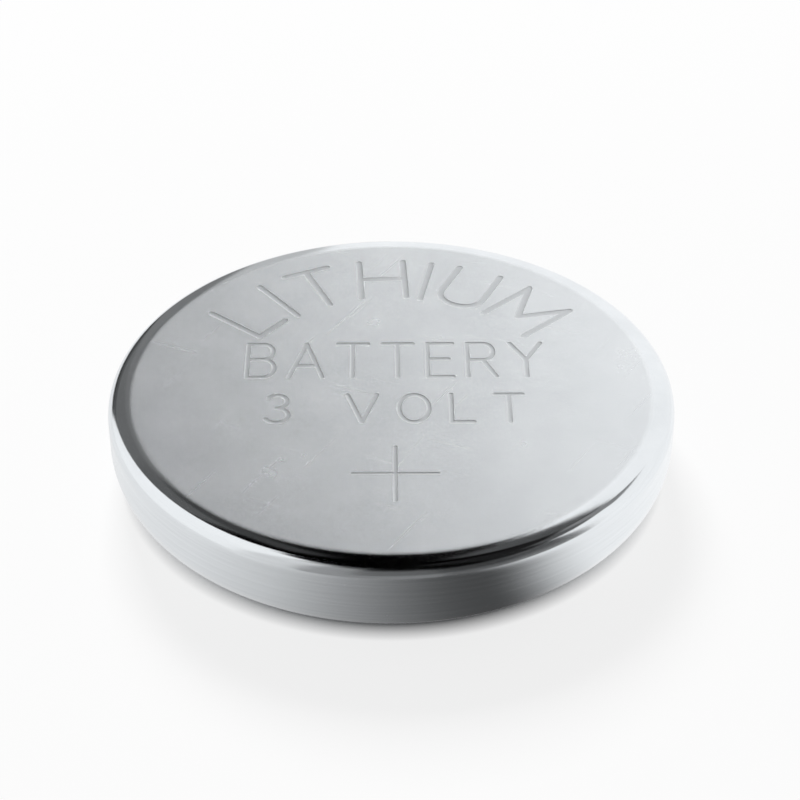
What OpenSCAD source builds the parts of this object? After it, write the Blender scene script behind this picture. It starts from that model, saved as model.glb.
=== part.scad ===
// Round lithium coin cell, 20 mm across and 3.2 mm high, in millimetres.
// The origin is the middle of the negative terminal face, on which the cell lies, and the positive face is up.
// Every piece but the collector grid is one revolved section about Z, with its sheet bends as true arcs.

/* [Cell] */
// Outside diameter of the can
cell_d = 20; // [16:0.5:24]
// Height from the negative terminal face to the positive one
cell_h = 3.2; // [2.8:0.1:5]

/* [Can] */
// Sheet thickness of the can
can_t = 0.25; // [0.15:0.01:0.3]
// Outside radius of the slow curve by which the positive face falls away near its edge
can_crown_r = 2.4; // [1.6:0.1:4]
// Angle that the slow curve turns through, before the tighter corner takes over
can_crown_turn = 12; // [6:1:16]
// Outside radius of the corner between that curve and the wall
can_corner_r = 0.53; // [0.35:0.01:0.7]
// Outside radius of the crimp, where the wall curls in round the seal
crimp_r = 1.55; // [1.3:0.05:1.8]
// Angle through which the crimp curls, from the straight wall to its lip
crimp_sweep = 74; // [60:1:85]

/* [Cap] */
// Sheet thickness of the cap
cap_t = 0.25; // [0.15:0.01:0.3]
// Outside radius of the edge round the negative face
cap_edge_r = 0.35; // [0.32:0.01:0.42]
// Radius of the hollow bend between the raised face and the shoulder
cap_bend_r = 0.15; // [0.12:0.01:0.22]
// Width of the flat ring on the shoulder, between that bend and the skirt's bend
cap_ledge_w = 0.2; // [0.1:0.05:0.4]

/* [Gasket] */
// Thickness of the seal between the can wall and the cap skirt
gasket_t = 0.35; // [0.25:0.01:0.4]
// Thickness of the foot between the cap skirt's edge and the can floor
gasket_foot_t = 0.35; // [0.2:0.01:0.5]
// Thickness of the short flange inside the cap skirt
gasket_flange_t = 0.35; // [0.2:0.01:0.5]
// Height of that flange, up from the skirt's edge
gasket_flange_h = 0.7; // [0.3:0.05:0.9]
// Radius that rounds the seal's free end, beside the cap
gasket_end_r = 0.12; // [0.05:0.01:0.2]

/* [Electrodes] */
// Thickness of the lithium disc
anode_t = 0.7; // [0.65:0.01:0.85]
// Clearance between the lithium disc and the wall of the cap's raised face
anode_gap = 0.2; // [0.1:0.05:1]
// Thickness of the separator
separator_t = 0.15; // [0.05:0.01:0.3]
// Clearance between the separator's edge and the foot of the skirt's bend
separator_gap = 0.05; // [0.02:0.01:0.08]
// Margin of the separator past the cathode pellet
cathode_inset = 0.35; // [0.05:0.05:1]

/* [Collector grid] */
// Thickness of the collector grid
grid_t = 0.1; // [0.05:0.01:0.2]
// Margin of the cathode pellet past the collector grid
grid_inset = 0.2; // [0.05:0.05:1]
// Unbroken edge round the openings
grid_rim = 0.4; // [0.2:0.05:1]
// Spacing of the diamond openings along their long way
mesh_long = 2.2; // [2.2:0.1:4]
// Spacing of the diamond openings along their short way
mesh_short = 1.3; // [1.3:0.1:3]
// Width of the strands between the openings
mesh_strand = 0.3; // [0.15:0.01:0.5]

/* [Hidden] */
$fn = 128;

// Radii of the nested walls, from the can inwards
can_r = cell_d / 2;
can_bore_r = can_r - can_t;
skirt_r = can_bore_r - gasket_t;
skirt_bore_r = skirt_r - cap_t;
flange_bore_r = skirt_bore_r - gasket_flange_t;

// Centres of the two arcs round the positive face, which meet tangentially
crown_z = cell_h - can_crown_r;
corner_r = can_r - can_corner_r;
corner_z = crown_z + (can_crown_r - can_corner_r) * cos(can_crown_turn);
crown_start_r = corner_r - (can_crown_r - can_corner_r) * sin(can_crown_turn);

// The crimp, the seal and the cap's shoulder curl round one centre
curl_r = can_r - crimp_r;
shoulder_bend_r = crimp_r - can_t - gasket_t;
shoulder_z = anode_t;
curl_z = shoulder_z + shoulder_bend_r;

// Heights of the stack, up from the negative face
anode_z = cap_t;
separator_z = anode_z + anode_t;
cathode_z = separator_z + separator_t;
floor_z = cell_h - can_t;
grid_z = floor_z - grid_t;
cathode_t = grid_z - cathode_z;
skirt_edge_z = floor_z - gasket_foot_t;

// Radii of the raised face and of the discs inside
ledge_r = curl_r - cap_ledge_w;
face_r = ledge_r - cap_bend_r;
face_bore_r = face_r - cap_t;
anode_r = face_bore_r - anode_gap;
separator_r = curl_r - separator_gap;
cathode_r = separator_r - cathode_inset;
grid_r = cathode_r - grid_inset;

// What one square corner has outside a round of radius r about [x, z]; the corner lies the way of side
module corner_spandrel(x, z, r, side) {
    difference() {
        translate([x + min(side.x, 0) * r, z + min(side.y, 0) * r]) square(r);
        translate([x, z]) circle(r);
    }
}

// What the can's square top corner has outside its two arcs, for the surface that lies inset deep
module crown_spandrel(inset) {
    difference() {
        translate([crown_start_r, corner_z])
        square([can_r - inset - crown_start_r, cell_h - inset - corner_z]);
        translate([corner_r, corner_z]) circle(can_corner_r - inset);
        intersection() {
            translate([crown_start_r, crown_z]) circle(can_crown_r - inset);
            translate([crown_start_r, crown_z])
            polygon([[0, 0], [0, can_crown_r], [can_crown_r * tan(can_crown_turn), can_crown_r]]);
        }
    }
}

// Half section of a round slab from z0 to z1, with its lower outer corner rounded by low_r
module slab_section(r, z0, z1, low_r) {
    difference() {
        translate([0, z0]) square([r, z1 - z0]);
        corner_spandrel(r - low_r, z0 + low_r, low_r, [1, -1]);
    }
}

// Section of a ring from r0 to r1 and from z0 to z1
module ring_section(r0, r1, z0, z1) {
    translate([r0, z0]) square([r1 - r0, z1 - z0]);
}

// Everything within the surface that lies inset deep in the can, from the crimp to the positive face
module curled_section(inset) {
    difference() {
        slab_section(can_r - inset, curl_z - crimp_r + inset, cell_h - inset, crimp_r - inset);
        crown_spandrel(inset);
    }
}

// What lies inward of the crimp's lip: all below the curl's centre, past a ray at the lip's angle
module lip_opening() {
    reach = cell_d;
    polygon([[curl_r, curl_z],
             [curl_r + reach * cos(crimp_sweep), curl_z - reach * sin(crimp_sweep)],
             [0, curl_z - reach * sin(crimp_sweep)],
             [0, curl_z]]);
}

// Drawn steel cup: the positive face, the wall and the crimp that closes the cell
module positive_can() {
    color("silver")
    rotate_extrude()
    difference() {
        curled_section(0);
        curled_section(can_t);
        lip_opening();
    }
}

// Space inside the cap's skirt and shoulder
module skirt_cavity_section() {
    slab_section(skirt_bore_r, separator_z, skirt_edge_z, shoulder_bend_r - cap_t);
}

// Moulded ring that seals and insulates: a wall, a foot under the skirt's edge and a short inner flange
module sealing_gasket() {
    color("dimgray")
    rotate_extrude() {
        difference() {
            curled_section(can_t);
            slab_section(skirt_r, shoulder_z, skirt_edge_z, shoulder_bend_r);
            ring_section(0, flange_bore_r, skirt_edge_z, floor_z);
            ring_section(0, curl_r, 0, shoulder_z);
            corner_spandrel(curl_r + gasket_end_r, shoulder_z - gasket_t + gasket_end_r,
                            gasket_end_r, [-1, -1]);
        }
        intersection() {
            ring_section(flange_bore_r, skirt_bore_r, skirt_edge_z - gasket_flange_h, skirt_edge_z);
            skirt_cavity_section();
        }
    }
}

// Outside of the cap: its raised face and the skirt, joined by the hollow bend under the ledge
module cap_outside_section() {
    slab_section(face_r, 0, shoulder_z, cap_edge_r);
    slab_section(skirt_r, shoulder_z, skirt_edge_z, shoulder_bend_r);
    corner_spandrel(ledge_r, shoulder_z - cap_bend_r, cap_bend_r, [-1, 1]);
}

// Inside of the cap, one sheet thickness in from the outside all along
module cap_inside_section() {
    slab_section(face_bore_r, cap_t, separator_z, cap_edge_r - cap_t);
    skirt_cavity_section();
    corner_spandrel(ledge_r, shoulder_z - cap_bend_r, cap_bend_r + cap_t, [-1, 1]);
}

// Drawn steel lid: the negative face, with a stepped shoulder that the crimp holds down
module negative_cap() {
    color("gainsboro")
    rotate_extrude()
    difference() {
        cap_outside_section();
        cap_inside_section();
    }
}

// Lithium disc, pressed into the hollow of the cap's raised face
module lithium_anode() {
    color("lightgray")
    translate([0, 0, anode_z]) cylinder(r = anode_r, h = anode_t);
}

// Fleece disc between the two electrodes, which also lies on the cap's ledge
module separator() {
    color("whitesmoke")
    translate([0, 0, separator_z]) cylinder(r = separator_r, h = separator_t);
}

// Pressed manganese dioxide disc, which fills the height that is left
module cathode_pellet() {
    color("darkslategray")
    translate([0, 0, cathode_z]) cylinder(r = cathode_r, h = cathode_t);
}

// Centres of the diamond openings, in staggered rows; only whole openings inside the rim are kept
function mesh_centres() =
    let (rows = ceil(grid_r / mesh_short) * 2, columns = ceil(grid_r / mesh_long))
    [for (j = [-rows:rows], i = [-columns - 1:columns])
        let (p = [(i + (j % 2 == 0 ? 0 : 0.5)) * mesh_long, j * mesh_short / 2])
        if (norm([abs(p.x) + mesh_long / 2, p.y]) < grid_r - grid_rim
            && norm([p.x, abs(p.y) + mesh_short / 2]) < grid_r - grid_rim) p];

// One diamond opening, with half a strand taken off all its sides
module mesh_opening() {
    side = norm([mesh_long, mesh_short]) / 2;
    half_long = mesh_long / 2 - mesh_strand * side / mesh_short;
    half_short = mesh_short / 2 - mesh_strand * side / mesh_long;
    polygon([[half_long, 0], [0, half_short], [-half_long, 0], [0, -half_short]]);
}

// Stainless expanded-metal disc that carries the current from the pellet to the can's floor
module collector_grid() {
    color("lightslategray")
    translate([0, 0, grid_z])
    linear_extrude(grid_t)
    difference() {
        circle(grid_r);
        for (p = mesh_centres()) translate(p) mesh_opening();
    }
}

positive_can();
sealing_gasket();
negative_cap();
lithium_anode();
separator();
cathode_pellet();
collector_grid();
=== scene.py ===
# Lithium coin cell lying on its negative face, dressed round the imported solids.
# Lengths are in millimetres here, and MM turns them into the metres of the frame.
import math

import bmesh
import bpy
from mathutils import Euler, Matrix, Vector


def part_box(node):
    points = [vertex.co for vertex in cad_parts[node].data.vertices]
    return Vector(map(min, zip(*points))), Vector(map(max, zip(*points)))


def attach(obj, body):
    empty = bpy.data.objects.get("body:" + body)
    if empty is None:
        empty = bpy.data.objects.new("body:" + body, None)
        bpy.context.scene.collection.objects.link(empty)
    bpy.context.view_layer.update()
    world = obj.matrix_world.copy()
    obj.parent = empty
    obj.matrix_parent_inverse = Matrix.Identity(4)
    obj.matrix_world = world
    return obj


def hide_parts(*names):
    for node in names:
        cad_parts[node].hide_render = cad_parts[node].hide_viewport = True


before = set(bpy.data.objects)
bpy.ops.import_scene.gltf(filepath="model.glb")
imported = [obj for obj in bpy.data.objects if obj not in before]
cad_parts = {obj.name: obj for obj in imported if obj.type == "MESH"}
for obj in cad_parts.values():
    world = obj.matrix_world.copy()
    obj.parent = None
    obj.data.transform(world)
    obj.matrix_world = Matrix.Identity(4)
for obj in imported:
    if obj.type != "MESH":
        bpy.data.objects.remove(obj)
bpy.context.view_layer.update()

MM = 0.001

# Sizes of the can, the gasket and the cap, as the solids have them
CAN_T = 0.25
CROWN_R = 2.4
CROWN_TURN = 12
CORNER_R = 0.53
CRIMP_R = 1.55
CRIMP_SWEEP = 74
GASKET_T = 0.35
GASKET_FLANGE_T = 0.35
GASKET_FLANGE_H = 0.7
GASKET_END_R = 0.12
CAP_T = 0.25
CAP_EDGE_R = 0.35
CAP_BEND_R = 0.15
CAP_LEDGE_W = 0.2

# Angle of the gasket's outer curl, from the straight wall to its rounded end
GASKET_SWEEP = 85

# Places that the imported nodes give
CAN_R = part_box("positive_can")[1].x / MM
TOP_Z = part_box("positive_can")[1].z / MM
GASKET_R = CAN_R - CAN_T
SKIRT_R = GASKET_R - GASKET_T
SKIRT_TOP_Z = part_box("negative_cap")[1].z / MM
LEDGE_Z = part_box("separator")[0].z / MM - CAP_T
CURL_R = CAN_R - CRIMP_R
CURL_Z = LEDGE_Z + CRIMP_R - CAN_T - GASKET_T

# How finely curves are cut: steps round the axis, and degrees a step in the sheet's bends and in letters
ROUND_STEPS = 320
ARC_STEP = 4.0
BOW_STEP = 12

# Straight stretches: how far inside each end a point lies, the least length that gets such points, and the
# distance within which two ends are one point
HOLD = 0.015
HELD_LENGTH = 3 * HOLD
SAME_POINT = HOLD / 10

# The angle between faces up to which shading is smooth
SMOOTH_ANGLE = math.radians(18)


def arc(x, z, radius, start, end):
    """Points from start to end degrees round (x, z); 0 points outwards and 90 up."""
    steps = round(abs(end - start) / ARC_STEP)
    angles = [math.radians(start + (end - start) * i / steps) for i in range(steps + 1)]
    return [(x + radius * math.cos(a), z + radius * math.sin(a)) for a in angles]


def straight(a, b):
    """A point just inside each end of the line from a to b, so that shading bends only in the arcs."""
    span = math.dist(a, b)
    step = [(b[i] - a[i]) * HOLD / span for i in (0, 1)]
    return [(a[0] + step[0], a[1] + step[1]), (b[0] - step[0], b[1] - step[1])]


def chain(*stretches):
    """One outline from arcs, with a straight stretch where two lie apart and one point where two meet."""
    points = list(stretches[0])
    for stretch in stretches[1:]:
        gap = math.dist(points[-1], stretch[0])
        if gap > HELD_LENGTH:
            points += straight(points[-1], stretch[0])
        elif gap < SAME_POINT:
            stretch = stretch[1:]
        points += stretch
    return points


def new_object(name, bm, material):
    mesh = bpy.data.meshes.new(name)
    bm.normal_update()
    bm.to_mesh(mesh)
    bm.free()
    mesh.materials.append(material)
    piece = bpy.data.objects.new(name, mesh)
    bpy.context.scene.collection.objects.link(piece)
    return piece


def smooth(piece):
    """Smooth shading, broken at corners and where two materials meet."""
    mesh = piece.data
    mesh.shade_smooth()
    mesh.set_sharp_from_angle(angle=SMOOTH_ANGLE)
    bm = bmesh.new()
    bm.from_mesh(mesh)
    for edge in bm.edges:
        if len({face.material_index for face in edge.link_faces}) > 1:
            edge.smooth = False
    bm.to_mesh(mesh)
    bm.free()


def ring(bm, radius, z, steps):
    """Vertices on a circle round the cell's axis."""
    turns = [2 * math.pi * i / steps for i in range(steps)]
    return [bm.verts.new((radius * math.cos(t) * MM, radius * math.sin(t) * MM, z * MM)) for t in turns]


def band(bm, low, high):
    """Faces all the way round, between two loops of vertices."""
    for i in range(len(low)):
        j = (i + 1) % len(low)
        bm.faces.new((low[i], low[j], high[j], high[i]))


def loft(name, bm, loops, material, closed=False):
    """A solid through loops of vertices; unless it closes on itself, it has a flat face at each end."""
    for low, high in zip(loops, loops[1:]):
        band(bm, low, high)
    if closed:
        band(bm, loops[-1], loops[0])
    else:
        bm.faces.new(loops[0])
        bm.faces.new(loops[-1])
    bmesh.ops.recalc_face_normals(bm, faces=bm.faces)
    return new_object(name, bm, material)


def revolve(name, outline, material, closed=False):
    """A solid of revolution; an open outline gets a flat face at each end."""
    bm = bmesh.new()
    rings = [ring(bm, radius, z, ROUND_STEPS) for radius, z in outline]
    return loft(name, bm, rings, material, closed)


def crowned_edge(inset, top_down=True):
    """The two arcs round the positive face, for the surface inset deep, from the face to the wall."""
    crown_z = TOP_Z - CROWN_R
    corner_r = CAN_R - CORNER_R
    lean = math.radians(CROWN_TURN)
    corner_z = crown_z + (CROWN_R - CORNER_R) * math.cos(lean)
    start_r = corner_r - (CROWN_R - CORNER_R) * math.sin(lean)
    crown = arc(start_r, crown_z, CROWN_R - inset, 90, 90 - CROWN_TURN)
    corner = arc(corner_r, corner_z, CORNER_R - inset, 90 - CROWN_TURN, 0)
    points = crown + corner[1:]
    return points if top_down else points[::-1]


def can_outline():
    lip = -CRIMP_SWEEP
    outside = chain(crowned_edge(0), arc(CURL_R, CURL_Z, CRIMP_R, 0, lip))
    inside = chain(arc(CURL_R, CURL_Z, CRIMP_R - CAN_T, lip, 0), crowned_edge(CAN_T, top_down=False))
    flat_end = [(outside[0][0] - HOLD, TOP_Z)]
    floor_end = [(inside[-1][0] - HOLD, TOP_Z - CAN_T)]
    return flat_end + outside + straight(outside[-1], inside[0]) + inside + floor_end


def gasket_outline():
    bore_r = SKIRT_R - CAP_T
    flange_r = bore_r - GASKET_FLANGE_T
    flange_z = SKIRT_TOP_Z - GASKET_FLANGE_H
    inner_r = CRIMP_R - CAN_T - GASKET_T
    end_z = LEDGE_Z - GASKET_T + GASKET_END_R
    outer = chain(crowned_edge(CAN_T), arc(CURL_R, CURL_Z, CRIMP_R - CAN_T, 0, -GASKET_SWEEP))
    end = arc(CURL_R + GASKET_END_R, end_z, GASKET_END_R, -90, -180)
    inner = arc(CURL_R, CURL_Z, inner_r, -90, 0)
    slot = [(SKIRT_R, SKIRT_TOP_Z), (bore_r, SKIRT_TOP_Z), (bore_r, flange_z)]
    flange = [(flange_r, flange_z), (flange_r, TOP_Z - CAN_T)]
    return outer + end + inner + slot + flange


def cap_outline():
    face_r = CURL_R - CAP_LEDGE_W - CAP_BEND_R
    bend_x = CURL_R - CAP_LEDGE_W
    bend_z = LEDGE_Z - CAP_BEND_R
    shoulder_r = CRIMP_R - CAN_T - GASKET_T
    outside = chain(
        arc(face_r - CAP_EDGE_R, CAP_EDGE_R, CAP_EDGE_R, -90, 0),
        arc(bend_x, bend_z, CAP_BEND_R, 180, 90),
        arc(CURL_R, CURL_Z, shoulder_r, -90, 0),
        [(SKIRT_R, SKIRT_TOP_Z)],
    )
    inside = chain(
        [(SKIRT_R - CAP_T, SKIRT_TOP_Z)],
        arc(CURL_R, CURL_Z, shoulder_r - CAP_T, 0, -90),
        arc(bend_x, bend_z, CAP_BEND_R + CAP_T, 90, 180),
        arc(face_r - CAP_EDGE_R, CAP_EDGE_R, CAP_EDGE_R - CAP_T, 0, -90),
    )
    first = [(outside[0][0] - HOLD, 0)]
    last = [(inside[-1][0] - HOLD, CAP_T)]
    return first + outside + straight(outside[-1], inside[0]) + inside + last


# Engraving: every letter is a set of strokes in a box one unit high, with its own width
def bow(x, y, rx, ry, start, end):
    """A curved stroke: part of an ellipse from start to end degrees."""
    steps = round(abs(end - start) / BOW_STEP)
    turns = [math.radians(start + (end - start) * i / steps) for i in range(steps + 1)]
    return [(x + rx * math.cos(a), y + ry * math.sin(a)) for a in turns]


def glyphs():
    """Width and strokes of each sign that the engraving uses."""
    bowl = 0.2
    return {
        "A": (0.66, [[(0, 0), (0.33, 1)], [(0.33, 1), (0.66, 0)], [(0.12, 0.34), (0.54, 0.34)]]),
        "B": (0.54, [[(0, 0), (0, 1)],
                     [(0, 1), (0.3, 1)] + bow(0.3, 0.77, bowl, 0.23, 80, -90) + [(0, 0.54)],
                     [(0, 0), (0.3, 0)] + bow(0.3, 0.27, bowl + 0.04, 0.27, -80, 90)]),
        "E": (0.5, [[(0, 0), (0, 1)], [(0, 1), (0.5, 1)], [(0, 0.53), (0.42, 0.53)], [(0, 0), (0.5, 0)]]),
        "H": (0.58, [[(0, 0), (0, 1)], [(0.58, 0), (0.58, 1)], [(0, 0.52), (0.58, 0.52)]]),
        "I": (0.0, [[(0, 0), (0, 1)]]),
        "L": (0.48, [[(0, 1), (0, 0)], [(0, 0), (0.48, 0)]]),
        "M": (0.72, [[(0, 0), (0, 1)], [(0, 1), (0.36, 0.3)],
                     [(0.36, 0.3), (0.72, 1)], [(0.72, 1), (0.72, 0)]]),
        "O": (0.66, [bow(0.33, 0.5, 0.33, 0.5, 90, 270), bow(0.33, 0.5, 0.33, 0.5, 270, 450)]),
        "R": (0.56, [[(0, 0), (0, 1)],
                     [(0, 1), (0.32, 1)] + bow(0.32, 0.75, bowl, 0.25, 80, -90) + [(0, 0.5)],
                     [(0.3, 0.5), (0.56, 0)]]),
        "T": (0.6, [[(0, 1), (0.6, 1)], [(0.3, 1), (0.3, 0)]]),
        "U": (0.58, [[(0, 1)] + bow(0.29, 0.29, 0.29, 0.29, 180, 360) + [(0.58, 1)]]),
        "V": (0.64, [[(0, 1), (0.32, 0)], [(0.32, 0), (0.64, 1)]]),
        "Y": (0.62, [[(0, 1), (0.31, 0.5)], [(0.62, 1), (0.31, 0.5)], [(0.31, 0.5), (0.31, 0)]]),
        " ": (0.3, []),
        "3": (0.52, [bow(0.25, 0.76, 0.22, 0.24, 150, -90), bow(0.25, 0.26, 0.26, 0.26, 90, -150)]),
    }


def straight_word(text, left, right, base, height, stretch):
    """A word between two limits, standing on the line y = base, with even gaps between its letters."""
    table = glyphs()
    widths = [table[sign][0] * height * stretch for sign in text]
    gap = (right - left - sum(widths)) / (len(text) - 1)
    strokes, pen = [], left
    for sign, width in zip(text, widths):
        for shape in table[sign][1]:
            strokes.append([(pen + x * height * stretch, base + y * height) for x, y in shape])
        pen += width + gap
    return strokes


def arched_word(text, base_r, height, sweep, stretch):
    """A word whose upright letters stand on the circle base_r, over sweep degrees about the top."""
    table = glyphs()
    middle_r = base_r + height / 2
    widths = [table[sign][0] * height * stretch for sign in text]
    gap = (math.radians(sweep) * middle_r - sum(widths)) / (len(text) - 1)
    strokes, run = [], -math.radians(sweep) * middle_r / 2
    for sign, width in zip(text, widths):
        turn = (run + width / 2) / middle_r
        for shape in table[sign][1]:
            stroke = []
            for x, y in shape:
                across = x * height * stretch - width / 2
                up = base_r + y * height
                stroke.append((across * math.cos(turn) + up * math.sin(turn),
                               up * math.cos(turn) - across * math.sin(turn)))
            strokes.append(stroke)
        run += width + gap
    return strokes


# Half section of an engraved groove: for each point its share of the half width, and its height over the
# face as a share of the depth
GROOVE_SECTION = ((1.3, 0.5), (1.0, -0.05), (0.82, -0.45), (0.62, -0.8), (0.4, -0.97), (0.15, -1.0))
GROOVE_DEPTH = 0.01
GROOVE_CAP_STEPS = 8


def offset_loop(points, reach):
    """A loop round a stroke at a distance of reach, with round ends."""
    normals = []
    for i in range(len(points)):
        before = Vector(points[i]) - Vector(points[i - 1]) if i else None
        after = Vector(points[i + 1]) - Vector(points[i]) if i + 1 < len(points) else None
        way = sum((v.normalized() for v in (before, after) if v is not None), Vector((0, 0))).normalized()
        normals.append(Vector((-way.y, way.x)))
    left = [Vector(p) + n * reach for p, n in zip(points, normals)]
    right = [Vector(p) - n * reach for p, n in zip(points, normals)]

    def cap(centre, arm):
        turns = [math.pi * i / GROOVE_CAP_STEPS for i in range(1, GROOVE_CAP_STEPS)]
        return [Vector(centre) + Matrix.Rotation(-t, 2) @ arm for t in turns]

    far = cap(points[-1], normals[-1] * reach)
    near = cap(points[0], -normals[0] * reach)
    return left + far + right[::-1] + near


def groove_cutter(points, width):
    bm = bmesh.new()
    loops = []
    for share, height in GROOVE_SECTION:
        z = (TOP_Z + height * GROOVE_DEPTH) * MM
        loop = offset_loop(points, share * width / 2)
        loops.append([bm.verts.new((p.x * MM, p.y * MM, z)) for p in loop])
    return loft("groove_cutter", bm, loops, MATERIALS["engraving"])


def engrave(piece, strokes):
    """Cuts a groove into the piece for each stroke, given as points and a width."""
    for points, width in strokes:
        cutter = groove_cutter(points, width)
        cut = piece.modifiers.new("groove", "BOOLEAN")
        cut.operation = "DIFFERENCE"
        cut.solver = "MANIFOLD"
        cut.material_mode = "TRANSFER"
        cut.object = cutter
        bpy.context.view_layer.update()
        result = bpy.data.meshes.new_from_object(piece.evaluated_get(bpy.context.evaluated_depsgraph_get()))
        piece.modifiers.remove(cut)
        piece.data = result
        bpy.data.objects.remove(cutter)


# The engraving on the positive face: the arched word, the straight words and the plus sign
ARCH_BASE_R = 5.65
ARCH_HEIGHT = 2.4
ARCH_SWEEP = 112
ARCH_STRETCH = 1.2
ARCH_STROKE = 0.24
STRAIGHT_WORDS = {
    "BATTERY": {"left": -5.15, "right": 5.4, "base": 0.55, "height": 2.05, "stretch": 0.88},
    "3 VOLT": {"left": -4.4, "right": 4.6, "base": -2.13, "height": 1.6, "stretch": 1.0},
}
WORD_STROKE = 0.17
PLUS_X = 0.13
PLUS_Y = -5.0
PLUS_ARM = 1.45
PLUS_BAR_STROKE = 0.11
PLUS_POST_STROKE = 0.15


def engraving():
    """All strokes on the positive face, each with the width of its groove."""
    arch = arched_word("LITHIUM", ARCH_BASE_R, ARCH_HEIGHT, ARCH_SWEEP, ARCH_STRETCH)
    marks = [(stroke, ARCH_STROKE) for stroke in arch]
    for text, place in STRAIGHT_WORDS.items():
        marks += [(stroke, WORD_STROKE) for stroke in straight_word(text, **place)]
    bar = [(PLUS_X - PLUS_ARM, PLUS_Y), (PLUS_X + PLUS_ARM, PLUS_Y)]
    post = [(PLUS_X, PLUS_Y - PLUS_ARM), (PLUS_X, PLUS_Y + PLUS_ARM)]
    return marks + [(bar, PLUS_BAR_STROKE), (post, PLUS_POST_STROKE)]


# Materials
WHITE = (1, 1, 1, 1)

# The span that most of a noise keeps to
NOISE_LOW = 0.3
NOISE_HIGH = 0.7

# How metallic the flat faces are: the matt rest keeps them from going black where they mirror a dark panel
FACE_METALLIC = 0.76


class Graph:
    """Short calls for building the nodes of one material, or of the world."""

    def __init__(self, name, owners=bpy.data.materials):
        self.owner = owners.new(name)
        self.owner.use_nodes = True
        self.tree = self.owner.node_tree
        nodes = self.tree.nodes
        self.output = next(node for node in nodes if node.bl_idname.startswith("ShaderNodeOutput"))
        self.shader = self.output.inputs["Surface"].links[0].from_node

    def feed(self, socket, value):
        """Links the socket to value where that is a socket too, and else sets it to value."""
        if isinstance(value, bpy.types.NodeSocket):
            self.tree.links.new(value, socket)
        else:
            socket.default_value = value

    def node(self, kind, inputs=None, **settings):
        made = self.tree.nodes.new(kind)
        for key, value in settings.items():
            setattr(made, key, value)
        for key, value in (inputs or {}).items():
            self.feed(made.inputs[key], value)
        return made

    def math(self, operation, a, b=0.0):
        return self.node("ShaderNodeMath", {0: a, 1: b}, operation=operation).outputs[0]

    def place(self, stretch=(1, 1, 1)):
        """Object coordinates in millimetres, times stretch."""
        at = self.node("ShaderNodeTexCoord").outputs["Object"]
        scale = [factor / MM for factor in stretch]
        return self.node("ShaderNodeMapping", {"Vector": at, "Scale": scale}).outputs["Vector"]

    def noise(self, at, scale, detail, rough=0.5):
        inputs = {"Vector": at, "Scale": scale, "Detail": detail, "Roughness": rough}
        return self.node("ShaderNodeTexNoise", inputs).outputs["Fac"]

    def ramp(self, value, start, end, low=0.0, high=1.0):
        """Maps a value that runs from start to end to one from low to high."""
        inputs = {"Value": value, "From Min": start, "From Max": end, "To Min": low, "To Max": high}
        return self.node("ShaderNodeMapRange", inputs).outputs["Result"]

    def spread(self, value, low, high):
        """Maps a noise value, which keeps near a half, to a span from low to high."""
        return self.ramp(value, NOISE_LOW, NOISE_HIGH, low, high)

    def mix(self, share, low, high):
        """A value from low to high, by a share from 0 to 1."""
        return self.node("ShaderNodeMix", {"Factor": share, "A": low, "B": high}).outputs["Result"]

    def tint(self, value, low, high):
        """A colour between low and high, by a noise value."""
        inputs = {"Factor": self.spread(value, 0.0, 1.0), "A": (*low, 1), "B": (*high, 1)}
        return self.node("ShaderNodeMix", inputs, data_type="RGBA").outputs["Result"]

    def bump(self, height, depth, normal=None):
        inputs = {"Height": height, "Distance": depth * MM}
        if normal is not None:
            inputs["Normal"] = normal
        return self.node("ShaderNodeBump", inputs).outputs["Normal"]

    def shown(self):
        """1 for a ray that shows the background: the camera's own, or one that metal or glass sends on."""
        path = self.node("ShaderNodeLightPath").outputs
        mirrored = self.math("MAXIMUM", path["Is Glossy Ray"], path["Is Transmission Ray"])
        return self.math("MAXIMUM", mirrored, path["Is Camera Ray"])

    def surface(self, shader):
        self.tree.links.new(shader, self.output.inputs["Surface"])

    def set(self, **values):
        names = {"color": "Base Color", "metallic": "Metallic", "rough": "Roughness", "normal": "Normal",
                 "sheen": "Sheen Weight", "specular": "Specular IOR Level"}
        for key, value in values.items():
            self.feed(self.shader.inputs[names[key]], value)
        return self.owner

    def grained(self, grain, low, high, rough, depth, **values):
        """Sets a colour from low to high, a roughness and a relief, which all follow one grain."""
        color = self.tint(grain, low, high)
        relief = self.bump(grain, depth)
        return self.set(color=color, rough=self.spread(grain, *rough), normal=relief, **values)


# How far the sheet faces up or down, from 0 on the wall to 1 on a flat face: where the looks of the flat
# and of the wall set in, and where they are full
FLAT_FROM = 0.9975
FLAT_FULL = 0.9998
WALL_FROM = 0.93
WALL_FULL = 0.6

# How much clouds, draw lines and hairlines change the sheet's roughness, and how deep the grain and the
# hairlines are
CLOUD_ROUGH = 0.015
LINE_ROUGH = 0.05
SCRATCH_ROUGH = 0.05
GRAIN_DEPTH = 0.0009
SCRATCH_DEPTH = 0.0002

# Hairlines: the scale of their noise along them, and the noise at which one sets in and is full
SCRATCH_ALONG = 0.2
SCRATCH_FROM = 0.73
SCRATCH_FULL = 0.84

# Draw lines: the scale of their noise up the wall, to a millimetre, and round it, to a radian
LINES_UP = 9.0
LINES_ROUND = 1.6


def scratches(g, turn, fineness, start):
    """Sparse hairlines, all about one way: 0 on clean metal and up to 1 in a hairline."""
    at = g.node("ShaderNodeMapping", {"Vector": g.place(), "Rotation": (0, 0, math.radians(turn))})
    scale = (SCRATCH_ALONG, fineness, 1)
    inputs = {"Vector": at.outputs["Vector"], "Scale": scale, "Location": (start, start, 0)}
    thin = g.node("ShaderNodeMapping", inputs)
    return g.ramp(g.noise(thin.outputs["Vector"], scale=1.0, detail=1.0), SCRATCH_FROM, SCRATCH_FULL)


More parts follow.
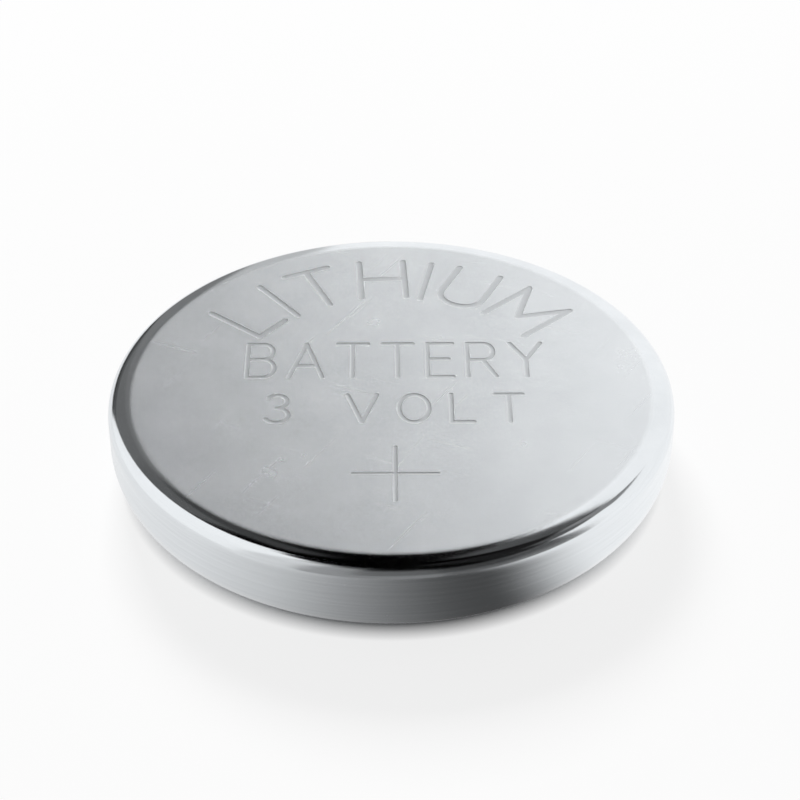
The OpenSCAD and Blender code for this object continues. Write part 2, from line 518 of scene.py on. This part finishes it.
def draw_lines(g):
    """Streaks that run round the wall, as the drawing die leaves them."""
    at = g.node("ShaderNodeSeparateXYZ", {"Vector": g.place()})
    turn = g.math("ARCTAN2", at.outputs["Y"], at.outputs["X"])
    up = g.math("MULTIPLY", at.outputs["Z"], LINES_UP)
    along = g.node("ShaderNodeCombineXYZ", {"X": up, "Y": g.math("MULTIPLY", turn, LINES_ROUND)})
    return g.noise(along.outputs["Vector"], scale=1.0, detail=5.0, rough=0.72)


def sheet_steel(name, low, high, face_rough, bend_rough, wall_rough):
    """Satin nickel-plated sheet: fine grain on the flat, polished bends, and draw lines round the wall."""
    g = Graph(name)
    cloudy = g.noise(g.place(), scale=0.4, detail=4.0, rough=0.6)
    grain = g.noise(g.place(), scale=22.0, detail=3.0, rough=0.7)
    lines = draw_lines(g)
    marks = g.math(
        "MAXIMUM",
        scratches(g, turn=24, fineness=14.0, start=3.7),
        scratches(g, turn=-57, fineness=18.0, start=41.3),
    )
    normal = g.node("ShaderNodeSeparateXYZ", {"Vector": g.node("ShaderNodeTexCoord").outputs["Normal"]})
    facing = g.math("ABSOLUTE", normal.outputs["Z"])
    flat = g.ramp(facing, FLAT_FROM, FLAT_FULL)
    wall = g.ramp(facing, WALL_FROM, WALL_FULL)
    base = g.mix(flat, g.mix(wall, bend_rough, wall_rough), face_rough)
    streaks = g.math("MULTIPLY", wall, g.spread(lines, -LINE_ROUGH, LINE_ROUGH))
    rough = g.math("ADD", g.math("ADD", base, streaks), g.spread(cloudy, -CLOUD_ROUGH, CLOUD_ROUGH))
    rough = g.math("ADD", rough, g.math("MULTIPLY", marks, SCRATCH_ROUGH))
    hairlines = g.math("MULTIPLY", g.math("MULTIPLY", marks, flat), -1.0)
    bump = g.bump(hairlines, SCRATCH_DEPTH, normal=g.bump(g.mix(wall, grain, lines), GRAIN_DEPTH))
    color = g.tint(g.mix(wall, cloudy, lines), low, high)
    return g.set(color=color, metallic=g.mix(flat, 1.0, FACE_METALLIC), rough=rough, normal=bump)


def engraved_steel():
    """The matt floor that the engraving tool leaves in its grooves."""
    g = Graph("engraved_steel")
    grain = g.noise(g.place(), scale=16.0, detail=4.0, rough=0.7)
    return g.grained(grain, low=(0.66, 0.685, 0.705), high=(0.74, 0.765, 0.785), rough=(0.3, 0.4),
                     depth=0.0015, metallic=FACE_METALLIC)


def gasket_plastic():
    g = Graph("gasket_plastic")
    grain = g.noise(g.place(), scale=12.0, detail=3.0)
    return g.grained(grain, low=(0.035, 0.036, 0.04), high=(0.06, 0.06, 0.065), rough=(0.4, 0.55),
                     depth=0.004)


def rolled_lithium():
    g = Graph("rolled_lithium")
    streaks = g.noise(g.place(stretch=(6, 0.5, 1)), scale=1.0, detail=4.0, rough=0.6)
    return g.grained(streaks, low=(0.68, 0.69, 0.7), high=(0.8, 0.8, 0.8), rough=(0.35, 0.5),
                     depth=0.006, metallic=1.0)


def fleece():
    g = Graph("fleece")
    fibres = g.noise(g.place(), scale=6.0, detail=6.0, rough=0.75)
    return g.grained(fibres, low=(0.78, 0.78, 0.75), high=(0.93, 0.93, 0.91), rough=(0.8, 0.95),
                     depth=0.03, sheen=0.3)


def pressed_powder():
    g = Graph("pressed_powder")
    grains = g.noise(g.place(), scale=14.0, detail=5.0, rough=0.7)
    return g.grained(grains, low=(0.012, 0.012, 0.013), high=(0.035, 0.035, 0.037), rough=(0.75, 0.95),
                     depth=0.02)


def grid_steel():
    g = Graph("grid_steel")
    grain = g.noise(g.place(), scale=10.0, detail=3.0)
    return g.grained(grain, low=(0.58, 0.59, 0.6), high=(0.7, 0.71, 0.72), rough=(0.28, 0.4),
                     depth=0.004, metallic=1.0)


MATERIALS = {
    "can": sheet_steel("can_steel", low=(0.78, 0.81, 0.835), high=(0.86, 0.89, 0.915),
                       face_rough=0.26, bend_rough=0.1, wall_rough=0.2),
    "cap": sheet_steel("cap_steel", low=(0.73, 0.755, 0.775), high=(0.8, 0.825, 0.845),
                       face_rough=0.28, bend_rough=0.14, wall_rough=0.2),
    "engraving": engraved_steel(),
    "gasket": gasket_plastic(),
    "lithium_anode": rolled_lithium(),
    "separator": fleece(),
    "cathode_pellet": pressed_powder(),
    "collector_grid": grid_steel(),
}


def dress(piece, node):
    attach(piece, "root")
    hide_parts(node)


def build_cell():
    can = revolve("can_shell", can_outline(), MATERIALS["can"])
    engrave(can, engraving())
    smooth(can)
    gasket = revolve("gasket_ring", gasket_outline(), MATERIALS["gasket"], closed=True)
    smooth(gasket)
    cap = revolve("cap_shell", cap_outline(), MATERIALS["cap"])
    smooth(cap)
    dress(can, "positive_can")
    dress(gasket, "sealing_gasket")
    dress(cap, "negative_cap")
    for node in ("lithium_anode", "separator", "cathode_pellet", "collector_grid"):
        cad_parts[node].data.materials.clear()
        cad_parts[node].data.materials.append(MATERIALS[node])


# Studio: the floor, how finely it and the card on it are cut, and the key lamp
FLOOR_R = 1200
ROUND_CARD_STEPS = 96
KEY_DISTANCE = 600
KEY_AZIMUTH = -10
KEY_ELEVATION = 34
KEY_SIZE = 200
KEY_RADIANCE = 34

# How brightly the floor glows to a ray that shows it, and the radii under the cell's edge at which the glow
# sets in and is full, so that the shadow under the cell stays dark
FLOOR_LIFT = 0.8
LIFT_START_R = 9.0
LIFT_FULL_R = 9.8

# How strongly the world lights matt surfaces
WORLD_FILL = 0.35

# The card round the cell on the floor, which the steel mirrors in place of the floor as a painted
# reflection,
# with painted shade in front: its bore, its edge, its height, and its brightness at angles that are 0 in
# front of the cell and 90 on its right
REFLECTION_CARD_BORE_R = 9.2
REFLECTION_CARD_R = 260
REFLECTION_CARD_LIFT = 0.01
PAINTED_REFLECTION_STOPS = (
    (-90, 0.9), (-50, 0.82), (-28, 0.6), (-12, 0.33), (6, 0.11),
    (20, 0.055), (29, 0.09), (39, 0.62), (50, 1.0), (90, 1.0),
)

# The dome round the cell: for each span of azimuth, which is 0 behind the cell and 90 on its right, the top
# and the brightness of each panel from the floor up. An open panel is left out, and over the last one it
# is black.
DOME_R = 300
DOME_STEP = 6
DOME_TOP = 90
BLACK = 0.0
OPEN = 1.0
DOME_PANELS = {
    (-20, -10): ((30, 0.2), (43, 0.18), (60, 0.05)),
    (-10, -4): ((30, 0.55), (43, 0.26)),
    (-4, 5): ((30, OPEN), (44, 0.56)),
    (5, 12): ((47.5, OPEN),),
    (12, 50): ((51, OPEN), (64, 0.08)),
    (50, 76): ((40, OPEN), (60, 0.25), (85, 0.012)),
    (76, 106): ((46, OPEN), (60, 0.1), (85, 0.012)),
    (106, 134): ((20, 0.16), (45, 0.08), (85, 0.012)),
    (134, 162): ((20, 0.12), (48, 0.05)),
    (162, 195): ((20, 0.24), (52, 0.13), (60, 0.04)),
    (195, 214): ((60, 0.3), (70, 0.1)),
    (214, 236): ((62, 0.72), (70, 0.35)),
    (236, 314): ((71, OPEN),),
    (314, 340): ((12, 0.05), (22, 0.09), (42, 0.15), (54, 0.11)),
}


def pale_floor():
    g = Graph("pale_floor")
    grain = g.noise(g.place(), scale=0.02, detail=2.0)
    g.set(color=g.tint(grain, low=(0.86, 0.86, 0.86), high=(0.88, 0.88, 0.88)), rough=0.9, specular=0.0)
    glow = g.node("ShaderNodeEmission", {"Color": WHITE, "Strength": 1.0}).outputs[0]
    radius = g.node("ShaderNodeVectorMath", {0: g.place()}, operation="LENGTH").outputs["Value"]
    share = g.math("MULTIPLY", g.shown(), g.ramp(radius, LIFT_START_R, LIFT_FULL_R, high=FLOOR_LIFT))
    g.surface(g.node("ShaderNodeMixShader", {0: share, 1: g.shader.outputs[0], 2: glow}).outputs[0])
    g.owner.cycles.emission_sampling = "NONE"
    return g.owner


def build_floor():
    bm = bmesh.new()
    bmesh.ops.create_circle(bm, cap_ends=True, segments=ROUND_CARD_STEPS, radius=FLOOR_R * MM)
    floor = new_object("floor", bm, pale_floor())


def mirrored_only(card):
    """Leaves a card to mirrored rays: it isn't seen itself, and neither lights nor shades what is matt."""
    card.visible_camera = False
    card.visible_diffuse = False
    card.visible_shadow = False


def painted_reflection_glow():
    """The card's painted glow, by a ramp that runs once round the cell and has the front in its middle."""
    g = Graph("painted_reflection_card")
    middle = 0.5
    at = g.node("ShaderNodeSeparateXYZ", {"Vector": g.place()})
    turn = g.math("ARCTAN2", at.outputs["X"], g.math("MULTIPLY", at.outputs["Y"], -1.0))
    share = g.math("ADD", g.math("DIVIDE", turn, 2 * math.pi), middle)
    ramp = g.node("ShaderNodeValToRGB", {"Fac": share})
    ramp.color_ramp.interpolation = "B_SPLINE"
    for _ in PAINTED_REFLECTION_STOPS[2:]:
        ramp.color_ramp.elements.new(middle)
    for element, (degrees, level) in zip(ramp.color_ramp.elements, PAINTED_REFLECTION_STOPS):
        element.position = degrees / 360 + middle
        element.color = (level, level, level, 1)
    # Painted reflection: the card glows with this brightness, dark in front as painted shade, and only the
    # steel sees it
    g.surface(g.node("ShaderNodeEmission", {"Color": ramp.outputs["Color"]}).outputs[0])
    return g.owner


def build_painted_reflection_card():
    """A card on the floor that only the cell's steel mirrors, a painted reflection of the floor: dark in
    front as painted shade, and pale at the sides.
    """
    bm = bmesh.new()
    band(bm, ring(bm, REFLECTION_CARD_BORE_R, 0, ROUND_CARD_STEPS), ring(bm, REFLECTION_CARD_R, 0, ROUND_CARD_STEPS))
    painted_reflection_card = new_object("painted_reflection_card", bm, painted_reflection_glow())
    painted_reflection_card.location.z = REFLECTION_CARD_LIFT * MM
    mirrored_only(painted_reflection_card)


def dome_glow():
    g = Graph("dome")
    level = g.node("ShaderNodeAttribute", attribute_name="level").outputs["Fac"]
    g.surface(g.node("ShaderNodeEmission", {"Color": WHITE, "Strength": level}).outputs[0])
    return g.owner


def way_to(azimuth, elevation):
    """The direction from the cell to a place round it; azimuth 0 is behind the cell and 90 on its right."""
    turn, lift = math.radians(azimuth), math.radians(elevation)
    return Vector((math.sin(turn) * math.cos(lift), math.cos(turn) * math.cos(lift), math.sin(lift)))


def even_steps(start, end):
    """Even steps of at most DOME_STEP degrees from start to end."""
    count = math.ceil((end - start) / DOME_STEP)
    return [start + (end - start) * i / count for i in range(count + 1)]


def build_dome():
    """The panels of the dome, which only steel mirrors; where one is open, it mirrors the white world."""
    bm = bmesh.new()
    level_of = bm.faces.layers.float.new("level")

    def corner(azimuth, elevation):
        return bm.verts.new(way_to(azimuth, elevation) * DOME_R * MM)

    for (left, right), panels in DOME_PANELS.items():
        low = 0
        for high, level in panels + ((DOME_TOP, BLACK),):
            across, up = even_steps(left, right), even_steps(low, high)
            low = high
            if level == OPEN:
                continue
            for a, b in zip(across, across[1:]):
                for c, d in zip(up, up[1:]):
                    face = bm.faces.new((corner(a, c), corner(a, d), corner(b, d), corner(b, c)))
                    face[level_of] = level
    mirrored_only(new_object("dome", bm, dome_glow()))


def build_key():
    """The lamp behind the cell, which lights matt surfaces and lays the shadow; steel doesn't mirror it."""
    lamp = bpy.data.lights.new("key", "AREA")
    lamp.size = KEY_SIZE * MM
    lamp.energy = KEY_RADIANCE * math.pi * (KEY_SIZE * MM) ** 2
    key = bpy.data.objects.new("key", lamp)
    bpy.context.scene.collection.objects.link(key)
    way = way_to(KEY_AZIMUTH, KEY_ELEVATION)
    key.location = way * KEY_DISTANCE * MM
    key.rotation_euler = (-way).to_track_quat("-Z", "Y").to_euler()
    key.visible_camera = False
    key.visible_glossy = False


def build_world():
    """White where it is seen or mirrored, and a soft even fill for matt surfaces."""
    g = Graph("studio", bpy.data.worlds)
    g.feed(g.shader.inputs["Color"], WHITE)
    g.feed(g.shader.inputs["Strength"], g.mix(g.shown(), WORLD_FILL, 1.0))
    bpy.context.scene.world = g.owner


# The photograph's view: where the camera stands, the place of the cell's middle in the picture, and the
# distances between which things are drawn
PICTURE = 800
SENSOR = 36.0
CAMERA_ELEVATION = 36.85
CAMERA_DISTANCE = 78.7
CAMERA_ROLL = -0.28
FOCAL_PIXELS = 2200
MIDDLE_X = 391.4
MIDDLE_Y = 422.0
CLIP_NEAR = 1
CLIP_FAR = 5000


def build_camera():
    camera = bpy.data.cameras.new("camera")
    camera.sensor_fit = "HORIZONTAL"
    camera.sensor_width = SENSOR
    camera.lens = FOCAL_PIXELS / PICTURE * SENSOR
    camera.shift_x = (PICTURE / 2 - MIDDLE_X) / PICTURE
    camera.shift_y = (MIDDLE_Y - PICTURE / 2) / PICTURE
    camera.clip_start = CLIP_NEAR * MM
    camera.clip_end = CLIP_FAR * MM
    eye = bpy.data.objects.new("camera", camera)
    bpy.context.scene.collection.objects.link(eye)
    lift = math.radians(CAMERA_ELEVATION)
    aim = Vector((0, 0, TOP_Z / 2 * MM))
    eye.location = aim + Vector((0, -math.cos(lift), math.sin(lift))) * CAMERA_DISTANCE * MM
    roll = Matrix.Rotation(math.radians(CAMERA_ROLL), 3, "Z")
    eye.rotation_euler = (Euler((math.pi / 2 - lift, 0, 0)).to_matrix() @ roll).to_euler()
    bpy.context.scene.camera = eye


build_camera()
build_cell()
build_floor()
build_painted_reflection_card()
build_dome()
build_key()
build_world()
bpy.context.scene.view_settings.view_transform = "Standard"
